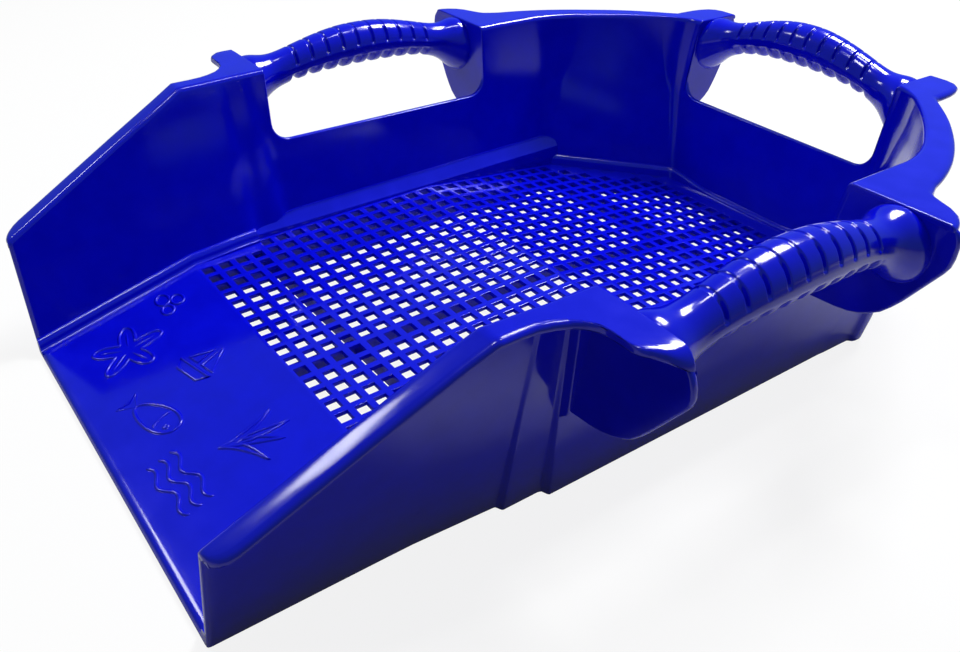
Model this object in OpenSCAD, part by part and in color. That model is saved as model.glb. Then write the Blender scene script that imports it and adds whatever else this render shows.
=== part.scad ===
// Sand sieve: a scooping tray with a square-hole floor, a turned-out rim and three ribbed hand grips.
// The frame: X to the right, Y toward the rear, Z up, the origin on the ground under the middle.
// The modules work with Y from the lip, and placed() moves each finished piece into the frame.

/* [Tray] */
// Height of the rim's top face above the ground
rim_height = 112; // [95:1:130]
// Distance from the lip to the inner foot of the rear wall
tray_length = 399; // [380:1:420]
// Half the inner width at the foot of the front section
front_half_width = 102; // [100:0.5:103]
// Half the inner width at the foot of the rear section
rear_half_width = 111; // [110:0.5:116]
// Outward lean of the front walls, per unit of height
front_lean = 0.2; // [0.16:0.01:0.2]
// Outward lean of the rear side walls, per unit of height
side_lean = 0.144; // [0.14:0.002:0.18]
// Outward lean of the rear wall, per unit of height
rear_lean = 0.12; // [0.08:0.01:0.16]
// Thickness of every wall
wall = 2.8; // [2.2:0.1:3.4]

/* [Rim] */
// Width of the turned-out rim
rim_width = 11.7; // [9:0.1:14]
// Height of the rim's front end above the ground
rim_front_height = 60; // [45:1:75]
// Share of the tray's length up to the bend where the rim levels out
knee_share = 0.2381; // [0.225:0.001:0.26]
// Share of the tray's length up to the step in the walls, where the first ear starts
step_share = 0.3058; // [0.296:0.001:0.315]

/* [Sieve] */
// Spacing of the holes
pitch = 9.5; // [9.4:0.02:9.56]
// Side of a square hole
hole = 6; // [4.5:0.1:7]
// Holes across the tray
columns = 23; // [19:2:23]
// Share of the tray's length taken by the ramp
ramp_share = 0.207; // [0.2:0.001:0.215]
// Share of the tray's length taken by the rising front panel
front_panel_share = 0.381; // [0.3:0.001:0.4]
// Thickness of the sieve floor
mesh_thickness = 3; // [2.4:0.1:4]
// Height of the sieve floor's middle where the ramp ends
mesh_height = 22; // [18:0.5:26]
// Rise of the front panel in degrees
front_rise = 2; // [1:0.1:3]
// Fall of the rear panel in degrees
rear_fall = 5.2; // [4:0.1:6]
// Depth of the stiffening ribs below the floor
rib_depth = 7; // [4:0.5:9]
// Thickness of the stiffening ribs
rib_thickness = 2.4; // [1.6:0.1:3.2]

/* [Ledge] */
// Distance of a ledge's inner edge inside the foot of its side wall
ledge_inset = 1.5; // [0.5:0.1:1.8]
// Height of the ledge's inner edge above the floor where it starts
ledge_height = 3; // [2.4:0.1:6]

/* [Grips] */
// Share of the tray's length up to the front edge of a side window
window_start_share = 0.3571; // [0.35:0.001:0.366]
// Share of the tray's length taken by a side window, and so by a side grip
window_share = 0.3559; // [0.32:0.001:0.375]
// Half the length of the rear window, and so of the rear grip
rear_half_window = 68; // [62:0.5:70]
// Depth of the side windows below the rim's top face
side_window_depth = 38.5; // [32:0.5:46]
// Depth of the rear window below the rim's top face
rear_window_depth = 46; // [38:0.5:52]
// Radius of the windows' lower corners
window_radius = 10; // [6:0.5:14]
// Reach of the ears beyond the wall's inner top edge
ear_reach = 44; // [40:0.5:48]
// Distance of a grip's middle line beyond the wall's inner top edge
grip_reach = 26.5; // [24:0.5:29]
// Depth of an ear's foot below the rim's top face
ear_depth = 57; // [52:0.5:62]
// Drop of a grip's middle line below the rim's top face, at its crown
grip_drop = 6.5; // [2:0.5:12]
// Rise of the crown above the ends
grip_arch = 9; // [5:0.5:12]
// Long axis of the grip's oval section
grip_long = 24; // [20:0.5:27]
// Short axis of the grip's oval section
grip_short = 16; // [13:0.5:20]

/* [Hidden] */
top_z = rim_height - wall;
knee_top = rim_front_height - wall;
step_drift = 2;
mesh_half = columns * pitch / 2;
ledge_half_width = rear_half_width - ledge_inset;
knee_y = knee_share * tray_length;
step_y = step_share * tray_length;
mesh_start = ramp_share * tray_length;
front_rows = round(front_panel_share * tray_length / pitch);
bend_y = mesh_start + front_rows * pitch * cos(front_rise);
bend_z = mesh_height + front_rows * pitch * sin(front_rise);
rear_rows = floor((tray_length - bend_y) / (pitch * cos(rear_fall)));
window_y = window_start_share * tray_length;
window_length = window_share * tray_length;
window_end = window_y + window_length;
side_sill = rim_height - side_window_depth;
rear_sill = rim_height - rear_window_depth;
ear_run = window_y - step_y;
tab_depth = 0.684 * ear_run;
tab_cut = 0.09 * ear_reach;
ear_round = 0.216 * ear_reach;
ear_bow = 0.284 * ear_reach;
corner_y = 0.8321 * tray_length;
corner_x = 0.5225 * rear_half_width;
corner_run = 0.24;
corner_courses = 6;
front_rib_run = floor((step_y - mesh_start) / pitch) * pitch - rib_thickness / 2;
rear_rib_run = round(0.575 * (tray_length - bend_y) / pitch) * pitch - rib_thickness / 2;
rear_rib_y = bend_y + rear_rib_run * cos(rear_fall);
ear_foot = rim_height - ear_depth;
side_root = ear_reach * 0.55;
rear_root = 2;
corner_bulge = 0.0873;
grip_height = rim_height - grip_drop;
grip_tilt = 48;
grip_rings = 24;
grip_sides = 20;
clear = 400;
origin_y = (tray_length + rear_lean * rim_height + ear_reach) / 2;

// Inner faces of the walls, as half widths and depths at a height z
function drift(y) = step_drift * max(0, y - mesh_start) / (step_y - mesh_start);
function front_x(y, z) = front_half_width + drift(y) + front_lean * z;
function side_x(z) = rear_half_width + side_lean * z;
function rear_y(z) = tray_length + rear_lean * z;
function side_fold(z, off) = [side_x(z) + off, corner_y + 0.054 * z + 0.43 * off, z];
function rear_fold(z, off) = [corner_x + corner_run * z + 0.4 * off, rear_y(z) + off, z];
// Middle height of the sieve floor at a distance y from the lip
function floor_z(y) = y < bend_y
    ? mesh_height + (y - mesh_start) * tan(front_rise)
    : bend_z - (y - bend_y) * tan(rear_fall);
// Height of the rim's underside along the front walls
function front_top(y) = y < knee_y ? knee_top + (top_z - knee_top) * y / knee_y : top_z;
// Point of the corner wall's inner face at height z and half width x
function corner_at(x, z) = let (a = side_fold(z, 0), b = rear_fold(z, 0))
    [x, a[1] + (b[1] - a[1]) * (a[0] - x) / (a[0] - b[0]), z];
// Centre of the circle through three points of the plan
function circle_centre(a, b, c) = let (
    d = 2 * (a[0] * (b[1] - c[1]) + b[0] * (c[1] - a[1]) + c[0] * (a[1] - b[1])),
    sa = a * a, sb = b * b, sc = c * c)
    [(sa * (b[1] - c[1]) + sb * (c[1] - a[1]) + sc * (a[1] - b[1])) / d,
     (sa * (c[0] - b[0]) + sb * (a[0] - c[0]) + sc * (b[0] - a[0])) / d];

// A plan outline given for the right side, closed over the middle plane
function mirrored(q) = concat(q, [for (i = [len(q) - 1:-1:0]) [-q[i][0], q[i][1]]]);
function flip(q) = [-q[0], q[1], q[2]];

// A solid through rings of equal point count; each ring turns from its first axis to the way ahead
module loft(rings) {
    n = len(rings[0]);
    last = len(rings) - 1;
    points = [for (r = rings) each r];
    sides = [for (k = [0:last - 1], i = [0:n - 1]) let (j = (i + 1) % n)
        each [[k * n + i, (k + 1) * n + j, k * n + j], [k * n + i, (k + 1) * n + i, (k + 1) * n + j]]];
    caps = [[for (i = [0:n - 1]) i], [for (i = [n - 1:-1:0]) last * n + i]];
    polyhedron(points = points, faces = concat(sides, caps));
}

// The frame of a sieve panel: y along its slope, z = 0 at the middle of the floor
module front_panel_frame() {
    translate([0, mesh_start, mesh_height])
        rotate([front_rise, 0, 0])
            children();
}
module rear_panel_frame() {
    translate([0, bend_y, bend_z])
        rotate([-rear_fall, 0, 0])
            children();
}

// Everything behind or before the bend of the floor
module behind_bend() {
    translate([-clear, bend_y, -clear])
        cube(2 * clear);
}
module before_bend() {
    translate([-clear, bend_y - 2 * clear, -clear])
        cube(2 * clear);
}

// A finished piece, moved from the lip's frame into the part's frame
module placed() {
    translate([0, -origin_y, 0])
        children();
}

// Both sides of a piece that stands on the right
module both_sides() {
    children();
    mirror([1, 0, 0])
        children();
}

// The solid floor from the lip up to the first row of holes
module scoop_ramp() {
    half = mesh_thickness / 2;
    dy = half * sin(front_rise);
    dz = half * cos(front_rise);
    low = mesh_height - dz;
    high = mesh_height + dz;
    color("mediumblue") placed()
        loft([
            [[-front_x(0, 0), 0, 0], [-front_x(0, wall), 0, wall],
             [front_x(0, wall), 0, wall], [front_x(0, 0), 0, 0]],
            [[-front_x(0, low), mesh_start + dy, low], [-front_x(0, high), mesh_start - dy, high],
             [front_x(0, high), mesh_start - dy, high], [front_x(0, low), mesh_start + dy, low]]
        ]);
}

// Square holes of one panel; the outer column on each side starts at row first_full
module hole_grid(rows, first_full) {
    for (j = [0:rows - 1]) {
        skip = j < first_full ? 1 : 0;
        for (i = [skip:columns - 1 - skip])
            translate([(i + 0.5) * pitch - mesh_half - hole / 2, (j + 0.5) * pitch - hole / 2])
                square(hole);
    }
}

// The rising front panel of the sieve floor, narrower between the front walls
module sieve_front() {
    run = front_rows * pitch;
    step_run = (step_y - mesh_start) / cos(front_rise);
    first_full = ceil((step_run - (pitch - hole) / 2) / pitch);
    near = front_x(mesh_start, mesh_height) + wall / 2;
    far = front_x(step_y, floor_z(step_y)) + wall / 2;
    color("mediumblue") placed()
        difference() {
            front_panel_frame()
                translate([0, 0, -mesh_thickness / 2])
                    linear_extrude(mesh_thickness)
                        difference() {
                            polygon(mirrored([[near, 0], [far, step_run], [ledge_half_width, step_run],
                                [ledge_half_width, run + 1]]));
                            hole_grid(front_rows, first_full);
                        }
            both_sides() step_wall();
            both_sides() front_wall();
            behind_bend();
        }
}

// The falling rear panel, cut off by the two corner walls and the rear wall
module sieve_rear() {
    foot = floor_z(tray_length);
    tip = corner_at(ledge_half_width, floor_z(corner_y));
    back = rear_fold(foot, 0);
    slope = cos(rear_fall);
    outline = [[ledge_half_width, -1], [ledge_half_width, (tip[1] - bend_y) / slope + 1.4],
        [back[0] + 0.6, (back[1] - bend_y) / slope + 1.4]];
    hole_limit = [[ledge_half_width, -1], [ledge_half_width, (tip[1] - bend_y) / slope - 10],
        [back[0] - 5, (back[1] - bend_y) / slope - 3]];
    color("mediumblue") placed()
        difference() {
            rear_panel_frame()
                translate([0, 0, -mesh_thickness / 2])
                    linear_extrude(mesh_thickness)
                        difference() {
                            polygon(mirrored(outline));
                            intersection() {
                                hole_grid(rear_rows, 0);
                                polygon(mirrored(hole_limit));
                            }
                        }
            both_sides() corner_wall();
            both_sides() corner_core();
            back_wall();
            before_bend();
        }
}
// The inside of the fold between a corner wall and the rear wall
module corner_core() {
    loft([for (z = [0, top_z]) [
        rear_fold(z, 0), rear_fold(z, wall) + [0.8, 0, 0], rear_fold(z, wall) - [0.8, 0, 0]]]);
}

// A stiffening rib below a panel, from one point to another of the panel's own plan
module rib(from, to) {
    translate([from[0], from[1], -mesh_thickness / 2 - rib_depth])
        cube([to[0] - from[0], to[1] - from[1], rib_depth]);
}
module front_cross_rib() {
    half = front_x(step_y, mesh_height - rib_depth) + wall / 2;
    color("navy") placed()
        difference() {
            front_panel_frame() rib([-half, front_rib_run], [half, front_rib_run + rib_thickness]);
            both_sides() step_wall();
        }
}
module rear_cross_rib() {
    half = side_x(floor_z(rear_rib_y)) + wall / 2;
    color("navy") placed()
        difference() {
            rear_panel_frame() rib([-half, rear_rib_run], [half, rear_rib_run + rib_thickness]);
            both_sides() side_wall();
        }
}
module centre_rib_front() {
    color("navy") placed()
        front_panel_frame()
            rib([-rib_thickness / 2, 0], [rib_thickness / 2, front_rib_run]);
}
module centre_rib_middle() {
    color("navy") placed()
        difference() {
            front_panel_frame()
                rib([-rib_thickness / 2, front_rib_run + rib_thickness],
                    [rib_thickness / 2, front_rows * pitch + 1]);
            behind_bend();
        }
}
module centre_rib_rear() {
    color("navy") placed()
        difference() {
            rear_panel_frame()
                rib([-rib_thickness / 2, -2], [rib_thickness / 2, rear_rib_run]);
            before_bend();
        }
}
module centre_rib_end() {
    color("navy") placed()
        difference() {
            rear_panel_frame()
                rib([-rib_thickness / 2, rear_rib_run + rib_thickness],
                    [rib_thickness / 2, (tray_length + 1.5 - bend_y) / cos(rear_fall)]);
            back_wall();
        }
}

// The wall beside the ramp, under the rising rim
module front_wall() {
    loft([for (y = [0, mesh_start]) wall_ring(y)]);
}
// The wall beside the first rows of holes, drifting outward to the step
module step_wall() {
    loft([for (y = [mesh_start, knee_y, step_y]) wall_ring(y)]);
}
function wall_ring(y) = let (t = front_top(y))
    [[front_x(y, 0), y, 0], [front_x(y, t), y, t],
     [front_x(y, t) + wall, y, t], [front_x(y, 0) + wall, y, 0]];
module right_front_wall() {
    color("mediumblue") placed() front_wall();
}
module left_front_wall() {
    color("mediumblue") placed() mirror([1, 0, 0]) front_wall();
}
module right_step_wall() {
    color("mediumblue") placed() step_wall();
}
module left_step_wall() {
    color("mediumblue") placed() mirror([1, 0, 0]) step_wall();
}

// The rear side wall: a web steps it outward, and the hand window is cut down from its top
module side_wall() {
    difference() {
        union() {
            loft([for (z = [0, top_z]) [
                [side_x(z), step_y, z], [side_x(z) + wall, step_y, z],
                side_fold(z, wall), side_fold(z, 0)]]);
            loft([for (z = [0, top_z]) [
                [front_x(step_y, z) + wall, step_y - wall, z], [side_x(z) + wall, step_y - wall, z],
                [side_x(z) + wall, step_y, z], [front_x(step_y, z) + wall, step_y, z]]]);
        }
        translate([0, window_y, side_sill])
            rotate([90, 0, 90])
                linear_extrude(clear)
                    window_outline(window_length);
    }
}
// A hand window, open at the top, its lower corners rounded
module window_outline(length) {
    r = window_radius;
    polygon(concat([[0, clear]],
        [for (a = [180:15:270]) [r + r * cos(a), r + r * sin(a)]],
        [for (a = [270:15:360]) [length - r + r * cos(a), r + r * sin(a)]],
        [[length, clear]]));
}
module right_side_wall() {
    color("mediumblue") placed() side_wall();
}
module left_side_wall() {
    color("mediumblue") placed() mirror([1, 0, 0]) side_wall();
}

// The sloping ledge between the side wall and the sieve floor
module ledge() {
    difference() {
        loft([for (y = [step_y, bend_y, corner_y + ear_run]) ledge_ring(y)]);
        corner_wall();
        beyond_corner();
    }
}
function ledge_ring(y) = let (
    low = floor_z(y) - mesh_thickness / 2,
    edge = floor_z(step_y) + mesh_thickness / 2 + ledge_height + (y - step_y) * tan(1.2),
    root = edge + 5,
    a = ledge_half_width)
    [[a, y, low], [a, y, edge], [side_x(root), y, root], [side_x(root - wall), y, root - wall],
     [a + wall * 0.7, y, edge - wall * 0.7], [a + wall * 0.7, y, low]];
// The space outside a corner wall
module beyond_corner() {
    loft([for (z = [0, top_z]) [
        side_fold(z, wall / 2), side_fold(z, ear_reach), rear_fold(z, ear_reach), rear_fold(z, wall / 2)]]);
}
module right_ledge() {
    color("blue") placed() ledge();
}
module left_ledge() {
    color("blue") placed() mirror([1, 0, 0]) ledge();
}

// The slanting wall between the side and the rear, slightly twisted, so made in several courses
module corner_wall() {
    loft([for (k = [0:corner_courses]) let (z = top_z * k / corner_courses) [
        side_fold(z, 0), side_fold(z, wall), rear_fold(z, wall), rear_fold(z, 0)]]);
}
module right_corner_wall() {
    color("mediumblue") placed() corner_wall();
}
module left_corner_wall() {
    color("mediumblue") placed() mirror([1, 0, 0]) corner_wall();
}

// The rear wall with its hand window
module back_wall() {
    difference() {
        loft([for (z = [0, top_z]) let (a = rear_fold(z, 0), b = rear_fold(z, wall))
            [a, b, flip(b), flip(a)]]);
        translate([-rear_half_window, tray_length + 2 * clear / 3, rear_sill])
            rotate([90, 0, 0])
                linear_extrude(clear)
                    window_outline(2 * rear_half_window);
    }
}
module rear_wall() {
    color("mediumblue") placed() back_wall();
}

// The turned-out rim: rising from its front end to the knee, then level up to the ear
module front_rim() {
    loft([for (y = [0, knee_y, step_y]) let (low = front_top(y), high = low + wall)
        [[front_x(y, low), y, low], [front_x(y, high), y, high],
         [front_x(y, high) + rim_width, y, high], [front_x(y, high) + rim_width, y, low]]]);
}
module right_front_rim() {
    color("royalblue") placed() front_rim();
}
module left_front_rim() {
    color("royalblue") placed() mirror([1, 0, 0]) front_rim();
}

// The broad rim around a rear corner, its outer edge one arc
module corner_rim() {
    start = [side_x(rim_height) + side_root, window_end + ear_run];
    end = [rear_half_window + ear_run, rear_y(rim_height) + rear_root];
    crown = (start + end) / 2 + corner_bulge * norm(end - start) * [cos(31), sin(31)];
    centre = circle_centre(start, crown, end);
    fold = side_fold(rim_height, 0);
    inner = corner_at(end[0], rim_height);
    color("royalblue")
        translate([0, 0, top_z])
            linear_extrude(wall)
                intersection() {
                    translate(centre)
                        circle(norm(start - centre), $fn = 180);
                    polygon([[fold[0], start[1]], [start[0] + clear, start[1]],
                        [start[0] + clear, end[1] + clear], [end[0], end[1] + clear],
                        [inner[0], inner[1]], [fold[0], fold[1]]]);
                }
}
module right_corner_rim() {
    placed() corner_rim();
}
module left_corner_rim() {
    placed() mirror([1, 0, 0]) corner_rim();
}

// An ear: a level tab at the rim and an upright plate under it that carries a grip's end.
// Its own frame: x outward from the wall's inner top edge, y toward the grip, which starts at y = 0.
module ear(lean, root, inner) {
    color("royalblue") {
        translate([0, 0, top_z])
            linear_extrude(wall)
                polygon(concat(inner, [[root, -ear_run], [ear_reach * 0.55, -tab_depth],
                    [ear_reach - tab_cut, -tab_depth], [ear_reach, tab_cut - tab_depth],
                    [ear_reach, 0], [0, 0]]));
        rotate([90, 0, 0])
            linear_extrude(wall)
                hull() {
                    polygon([[wall - lean * (rim_height - ear_foot), ear_foot],
                        [wall - lean * wall, top_z + wall / 2], [ear_reach - 1, top_z + wall / 2]]);
                    translate([ear_reach - 1.05 * ear_round, top_z - 1.16 * ear_round])
                        circle(ear_round, $fn = 40);
                    translate([ear_reach * 0.44, ear_foot + 1.16 * ear_bow])
                        circle(ear_bow, $fn = 40);
                }
    }
}
module side_ear() {
    translate([side_x(rim_height), window_y, 0])
        ear(side_lean, rim_width, [[0, -ear_run]]);
}
module back_side_ear() {
    translate([side_x(rim_height), window_end, 0])
        mirror([0, 1, 0])
            ear(side_lean, side_root, [[0, -ear_run]]);
}
module back_ear() {
    end = rear_half_window + ear_run;
    inner = corner_at(end, rim_height);
    fold = rear_fold(rim_height, 0);
    translate([rear_half_window, rear_y(rim_height), 0])
        rotate([0, 0, 90])
            ear(rear_lean, rear_root, [[0, rear_half_window - fold[0]],
                [inner[1] - rear_y(rim_height), -ear_run]]);
}
module right_front_ear() {
    placed() side_ear();
}
module left_front_ear() {
    placed() mirror([1, 0, 0]) side_ear();
}
module right_rear_ear() {
    placed() back_side_ear();
}
module left_rear_ear() {
    placed() mirror([1, 0, 0]) back_side_ear();
}
module rear_right_ear() {
    placed() back_ear();
}
module rear_left_ear() {
    placed() mirror([1, 0, 0]) back_ear();
}

// A grip: an arched bar of oval section that swells at both ends, along y from 0 to its length
module grip(length) {
    color("royalblue")
        loft([for (k = [0:grip_rings]) let (
            s = k / grip_rings,
            swell = 1 + 0.35 * pow(abs(2 * s - 1), 6),
            z = grip_height - grip_arch * pow(2 * s - 1, 2))
            [for (i = [0:grip_sides - 1]) let (
                a = 360 * i / grip_sides,
                u = swell * grip_long / 2 * sin(a),
                v = swell * grip_short / 2 * cos(a))
                [grip_reach + u * cos(grip_tilt) + v * sin(grip_tilt), s * length,
                 z - u * sin(grip_tilt) + v * cos(grip_tilt)]]]);
}
module side_grip() {
    translate([side_x(rim_height), window_y, 0]) grip(window_length);
}
module right_grip() {
    placed() side_grip();
}
module left_grip() {
    placed() mirror([1, 0, 0]) side_grip();
}
module rear_grip() {
    placed()
        translate([rear_half_window, rear_y(rim_height), 0])
            rotate([0, 0, 90]) grip(2 * rear_half_window);
}

scoop_ramp();
sieve_front();
sieve_rear();
front_cross_rib();
rear_cross_rib();
centre_rib_front();
centre_rib_middle();
centre_rib_rear();
centre_rib_end();
left_front_wall();
right_front_wall();
left_step_wall();
right_step_wall();
left_side_wall();
right_side_wall();
left_ledge();
right_ledge();
left_corner_wall();
right_corner_wall();
rear_wall();
left_front_rim();
right_front_rim();
left_corner_rim();
right_corner_rim();
left_front_ear();
right_front_ear();
left_rear_ear();
right_rear_ear();
rear_left_ear();
rear_right_ear();
left_grip();
right_grip();
rear_grip();
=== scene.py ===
import math

import bmesh
import bpy
import numpy as np
from mathutils import Euler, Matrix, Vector


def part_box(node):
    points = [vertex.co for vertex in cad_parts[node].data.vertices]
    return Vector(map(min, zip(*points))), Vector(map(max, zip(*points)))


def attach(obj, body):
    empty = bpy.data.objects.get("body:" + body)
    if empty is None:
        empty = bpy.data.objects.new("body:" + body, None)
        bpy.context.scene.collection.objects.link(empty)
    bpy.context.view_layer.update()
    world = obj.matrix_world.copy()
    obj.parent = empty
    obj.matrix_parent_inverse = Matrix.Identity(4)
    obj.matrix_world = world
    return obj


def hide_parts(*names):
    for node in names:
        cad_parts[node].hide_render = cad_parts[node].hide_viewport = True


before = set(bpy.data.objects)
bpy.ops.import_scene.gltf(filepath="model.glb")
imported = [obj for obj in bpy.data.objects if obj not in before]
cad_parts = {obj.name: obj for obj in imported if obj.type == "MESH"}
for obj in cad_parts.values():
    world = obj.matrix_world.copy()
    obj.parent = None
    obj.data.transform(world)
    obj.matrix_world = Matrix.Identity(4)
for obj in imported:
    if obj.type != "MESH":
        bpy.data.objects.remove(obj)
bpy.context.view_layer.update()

# Scoop ramp: the solid front of the tray's floor, from the thin lip up to the first row of holes. It is
# part of the one blue injection moulding, with a low skirting where it runs into the two front walls.
LIP_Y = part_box("scoop_ramp")[0].y
WALL = 2.8
FRONT_HALF, FRONT_LEAN = 102.0, 0.2
FRONT_DRIFT, DRIFT_RUN = 2.0, 39.4
RAMP_END, RAMP_LOW, RAMP_HIGH = 82.6, WALL, 23.5
RAMP_INTO_WALL = 0.8


def linear(code):
    """An sRGB hex colour as the linear colour that a shader socket takes."""
    parts = [int(code[i:i + 2], 16) / 255 for i in (1, 3, 5)]
    return [c / 12.92 if c <= 0.04045 else ((c + 0.055) / 1.055) ** 2.4 for c in parts] + [1.0]


def add_node(tree, kind, links=(), **settings):
    """One shader node: its settings, its input values, and links as (input, node, output)."""
    made = tree.nodes.new(kind)
    for key, value in settings.items():
        if hasattr(made, key):
            setattr(made, key, value)
        else:
            made.inputs[key.replace("_", " ")].default_value = value
    for socket, source, output in links:
        tree.links.new(source.outputs[output], made.inputs[socket])
    return made


# Moulded polypropylene: glossy from a polished mould, one strong blue right through. The eye sees
# sharp reflections that waver a little, because thick and thin places shrink unevenly.
moulded_polypropylene = bpy.data.materials.new("moulded_polypropylene")
moulded_polypropylene.use_nodes = True
plastic_tree = moulded_polypropylene.node_tree
plastic_tree.nodes.clear()
plastic_place = add_node(plastic_tree, "ShaderNodeTexCoord")
SINK_MM, PEEL_MM, HAZE_MM = 32.0, 2.4, 14.0
HAZE_LOW, HAZE_HIGH = 0.3, 0.7
plastic_sink = add_node(plastic_tree, "ShaderNodeTexNoise", [("Vector", plastic_place, "Object")],
                        Scale=1000 / SINK_MM, Detail=1.0)
plastic_peel = add_node(plastic_tree, "ShaderNodeTexNoise", [("Vector", plastic_place, "Object")],
                        Scale=1000 / PEEL_MM, Detail=2.0)
plastic_haze = add_node(plastic_tree, "ShaderNodeTexNoise", [("Vector", plastic_place, "Object")],
                        Scale=1000 / HAZE_MM, Detail=4.0)
plastic_tint = add_node(plastic_tree, "ShaderNodeValToRGB", [("Fac", plastic_haze, "Fac")])
plastic_tint.color_ramp.elements[0].position = HAZE_LOW
plastic_tint.color_ramp.elements[0].color = linear("#0407CC")
plastic_tint.color_ramp.elements[1].position = HAZE_HIGH
plastic_tint.color_ramp.elements[1].color = linear("#0409D8")
plastic_gloss = add_node(plastic_tree, "ShaderNodeMapRange", [("Value", plastic_haze, "Fac")],
                         From_Min=HAZE_LOW, From_Max=HAZE_HIGH, To_Min=0.1, To_Max=0.16)
plastic_wave = add_node(plastic_tree, "ShaderNodeBump", [("Height", plastic_sink, "Fac")],
                        Strength=0.06, Distance=0.0012)
plastic_skin = add_node(plastic_tree, "ShaderNodeBump",
                        [("Height", plastic_peel, "Fac"), ("Normal", plastic_wave, "Normal")],
                        Strength=0.04, Distance=0.00012)
plastic_shader = add_node(plastic_tree, "ShaderNodeBsdfPrincipled",
                          [("Base Color", plastic_tint, "Color"), ("Roughness", plastic_gloss, "Result"),
                           ("Normal", plastic_skin, "Normal")], IOR=1.49)
add_node(plastic_tree, "ShaderNodeOutputMaterial", [("Surface", plastic_shader, "BSDF")])

# The rim, and all that hangs on it, climbs by a few millimetres toward the rear
CLIMB_Y, CLIMB_MM = (60, 95, 150, 300), (-0.6, -1.1, 0.0, 1.9)
CLIMB_FROM_Z, CLIMB_SPAN = 45, 67
WELD_M, SLIVER_M = 2e-6, 1e-7
EDGE_STEPS, EDGE_FROM_DEG = 3, 48


def rim_climb(y, z):
    return np.interp(y, CLIMB_Y, CLIMB_MM) * max(z - CLIMB_FROM_Z, 0) / CLIMB_SPAN


def make_piece(name, points, faces, nodes=(), smooth_below=38, edge_mm=0.0, mirror=False):
    """A mesh from points in mm, Y from the lip, riding on the tray and standing for its CAD nodes."""
    mesh = bpy.data.meshes.new(name)
    spots = [(x / 1000, y / 1000 + LIP_Y, (z + rim_climb(y, z)) / 1000) for x, y, z in points]
    mesh.from_pydata(spots, [], faces)
    shape = bmesh.new()
    shape.from_mesh(mesh)
    if mirror:
        for vert in shape.verts:
            vert.co.x = -vert.co.x
    bmesh.ops.remove_doubles(shape, verts=shape.verts, dist=WELD_M)
    bmesh.ops.dissolve_degenerate(shape, edges=shape.edges, dist=SLIVER_M)
    bmesh.ops.recalc_face_normals(shape, faces=shape.faces)
    shape.to_mesh(mesh)
    shape.free()
    mesh.materials.append(moulded_polypropylene)
    piece = bpy.data.objects.new(name, mesh)
    bpy.context.scene.collection.objects.link(piece)
    mesh.shade_smooth()
    if edge_mm:
        edge = piece.modifiers.new("rounded_edges", "BEVEL")
        edge.width = edge_mm / 1000
        edge.segments = EDGE_STEPS
        edge.limit_method = "ANGLE"
        edge.angle_limit = math.radians(EDGE_FROM_DEG)
        edge.use_clamp_overlap = False
        edge.miter_outer = "MITER_ARC"
    else:
        mesh.set_sharp_from_angle(angle=math.radians(smooth_below))
    even = piece.modifiers.new("even_shading", "WEIGHTED_NORMAL")
    even.keep_sharp = True
    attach(piece, "root")
    if nodes:
        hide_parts(*nodes)
    return piece


def loft(rings):
    """Points and faces of a closed solid through rings of equal length."""
    n = len(rings[0])
    faces = [(k * n + i, k * n + (i + 1) % n, (k + 1) * n + (i + 1) % n, (k + 1) * n + i)
             for k in range(len(rings) - 1) for i in range(n)]
    faces += [tuple(range(n)), tuple(range((len(rings) - 1) * n, len(rings) * n))]
    return [p for ring in rings for p in ring], faces


def front_x(y, z):
    """Inner face of the front walls, which drift apart a little behind the ramp."""
    drift = FRONT_DRIFT * min(max((y - RAMP_END) / DRIFT_RUN, 0.0), 1.0)
    return FRONT_HALF + drift + FRONT_LEAN * z


def ramp_z(y):
    return RAMP_LOW + (RAMP_HIGH - RAMP_LOW) * y / RAMP_END


# The skirting's half profile: distance inward from the wall's inner face, and height over the ramp
SKIRTING = [(4.8, 0.0), (4.1, 0.08), (3.5, 0.32), (3.05, 0.75), (2.8, 1.4), (2.75, 2.2), (2.65, 2.9),
            (2.4, 3.7), (1.95, 4.4), (1.3, 4.95), (0.5, 5.25), (-1.2, 5.3)]
# The lip's round: distance behind its tip, and drop below the line of the ramp
NOSE = [(0.0, 2.3), (0.12, 1.7), (0.45, 1.1), (1.0, 0.6), (1.8, 0.25), (2.8, 0.06), (3.8, 0.0)]


def ramp_ring(y, drop):
    top = ramp_z(y) - drop
    ring = []
    for inward, up in SKIRTING:
        z = ramp_z(y) + up
        ring.append((front_x(y, z) - inward, y, z if up > 0 else top))
    low = max(top - WALL, 0.0) if drop else ramp_z(y) - WALL
    ring.append((front_x(y, low) + RAMP_INTO_WALL, y, low))
    return [(-x, v, z) for x, v, z in ring[::-1]] + ring


ramp_points, ramp_faces = loft([ramp_ring(y, drop) for y, drop in NOSE]
                               + [ramp_ring(y, 0.0) for y in (6, 20, 40, 60, 75, RAMP_END)])
make_piece("scoop_ramp_skin", ramp_points, ramp_faces, ["scoop_ramp"], smooth_below=50)

# Ramp motifs: low raised seaside pictures on the ramp, cut into the mould, so they are the same plastic.
# Each is a set of round-backed ridges, 0.6 mm high, lying on the ramp's slope.
RIDGE_HALF, RIDGE_ROUND, RIDGE_SUNK = 0.85, 0.75, 0.15
RIDGE_ARC = [math.radians(a) for a in range(0, 181, 30)]
TAPER_FROM, TAPER_POINTS = 0.35, 1.5
RAMP_SLOPE = math.atan2(RAMP_HIGH - RAMP_LOW, RAMP_END)
TURN = 2 * math.pi


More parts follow.
